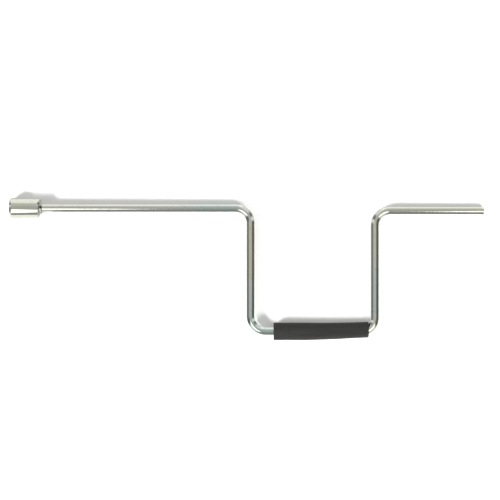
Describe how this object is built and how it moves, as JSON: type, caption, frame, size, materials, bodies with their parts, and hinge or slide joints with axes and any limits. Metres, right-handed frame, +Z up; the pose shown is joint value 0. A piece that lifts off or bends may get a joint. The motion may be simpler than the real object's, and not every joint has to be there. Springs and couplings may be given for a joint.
{
  "type": "crank brace with hex drive socket",
  "caption": "Bent round-bar crank brace: a welded hexagon drive socket at one end, a rectangular crank throw with a soft turning grip sleeve, and a plain steadying stub at the other end.",
  "frame": {"origin": "middle of the underside of the whole brace's box, on the surface it lies on", "axes": "+X along the drive shaft from the socket towards the stub, +Y in the crank's plane from the grip towards the shaft, +Z up out of the crank's plane"},
  "size_m": [0.5966, 0.1788, 0.026],
  "materials": {
    "zinc_bar": "bright zinc plate on cold drawn round bar, semi-gloss with faint draw lines",
    "zinc_socket": "bright zinc plate on a turned and broached steel socket",
    "plated_weld": "plated over weld bead, rippled and duller than the bar",
    "grip_foam": "dark grey closed-cell foam rubber, matt"
  },
  "bodies": {
    "crank": {"crank_bar": "zinc_bar", "drive_socket": "zinc_socket", "socket_weld": "plated_weld"},
    "grip": {"grip_sleeve": "grip_foam"}
  },
  "joints": [
    {"name": "grip_spin", "type": "hinge", "parent": "crank", "child": "grip", "pos_m": [0.093, -0.07863, 0.013], "axis": [1, 0, 0], "continuous": true}
  ]
}
